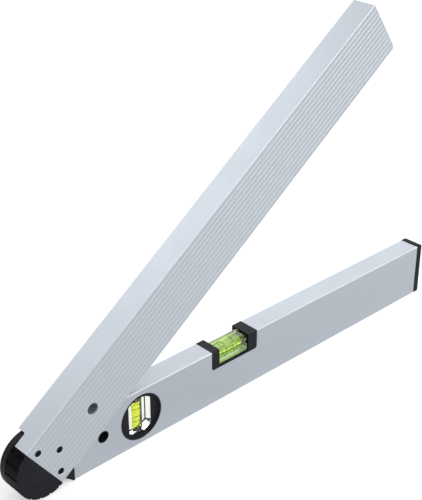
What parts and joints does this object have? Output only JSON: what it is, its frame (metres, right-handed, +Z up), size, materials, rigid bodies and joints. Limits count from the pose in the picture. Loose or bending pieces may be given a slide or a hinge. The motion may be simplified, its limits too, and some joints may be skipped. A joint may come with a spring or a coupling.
{
  "type": "digital protractor",
  "caption": "Two-arm digital protractor: an aluminium base arm with level and plumb vials, and a channel arm that folds over it on a hinge with a display head.",
  "frame": {"origin": "middle of the underside: halfway along the object, midway between its sides, on the surface that the base arm stands on", "axes": "+X along the base arm from the hinge to its capped end, +Y from the plain side to the display side, +Z up"},
  "size_m": [0.4616, 0.0224, 0.2979],
  "materials": {
    "profile_aluminium": "satin anodised",
    "black_plastic": "fine moulded texture",
    "hub_plastic": "fine moulded texture",
    "vial_acrylic": "clear, polished",
    "level_acrylic": "clear yellow-green, polished",
    "vial_liquid": "clear bright yellow-green",
    "vial_ring": "black",
    "display_window": "clear, polished",
    "display_panel": "grey-green liquid crystal",
    "button_rubber": "satin",
    "board": "green solder mask",
    "dark_rubber": "matt",
    "steel": "turned",
    "dark_steel": "blackened",
    "cell_steel": "bright rolled",
    "bronze": "turned",
    "acetal": "natural",
    "friction_disc": "pressed fibre"
  },
  "bodies": {
    "base_arm": {"base_profile": "profile_aluminium", "end_cap": "black_plastic", "hinge_block": "black_plastic", "hanging_bush": "black_plastic", "level_vial_frame": "black_plastic", "level_vial_block": "level_acrylic", "level_vial_plug": "level_acrylic", "level_vial_liquid": "vial_liquid", "level_vial_rings": "vial_ring", "plumb_bezel_near": "black_plastic", "plumb_bezel_far": "black_plastic", "plumb_vial_block": "vial_acrylic", "plumb_vial_plug": "vial_acrylic", "plumb_vial_liquid": "vial_liquid", "plumb_vial_rings": "vial_ring", "head_cover": "black_plastic", "cover_screws": "steel", "display_window": "display_window", "lcd_panel": "display_panel", "lcd_connector": "dark_rubber", "circuit_board": "board", "controller_chip": "black_plastic", "button_switches": "steel", "battery_contacts": "steel", "coin_cell": "cell_steel", "encoder_stator": "board", "pivot_post": "steel", "post_screws": "steel", "thrust_washer": "acetal", "friction_washer": "friction_disc", "spring_washer": "steel", "pivot_nut": "steel"},
    "swing_arm": {"swing_profile": "profile_aluminium", "hub_shell": "hub_plastic", "hub_core": "hub_plastic", "pivot_bush": "bronze", "encoder_rotor": "board", "hub_screws": "dark_steel"},
    "power_button": {"power_button": "button_rubber"},
    "hold_button": {"hold_button": "button_rubber"},
    "battery_cap": {"battery_cap": "black_plastic"}
  },
  "joints": [
    {"name": "arm_hinge", "type": "hinge", "parent": "base_arm", "child": "swing_arm", "pos_m": [-0.20572, 0, 0.0257], "axis": [0, -1, 0], "range_deg": [-35.35, 189.65]},
    {"name": "power_press", "type": "slide", "parent": "base_arm", "child": "power_button", "axis": [0, -1, 0], "range_m": [0, 0.0005], "stiffness_N_per_m": 500},
    {"name": "hold_press", "type": "slide", "parent": "base_arm", "child": "hold_button", "axis": [0, -1, 0], "range_m": [0, 0.0005], "stiffness_N_per_m": 500},
    {"name": "cap_turn", "type": "hinge", "parent": "base_arm", "child": "battery_cap", "pos_m": [-0.20572, 0.0103, 0.0147], "axis": [0, 1, 0], "range_deg": [0, 60]}
  ]
}
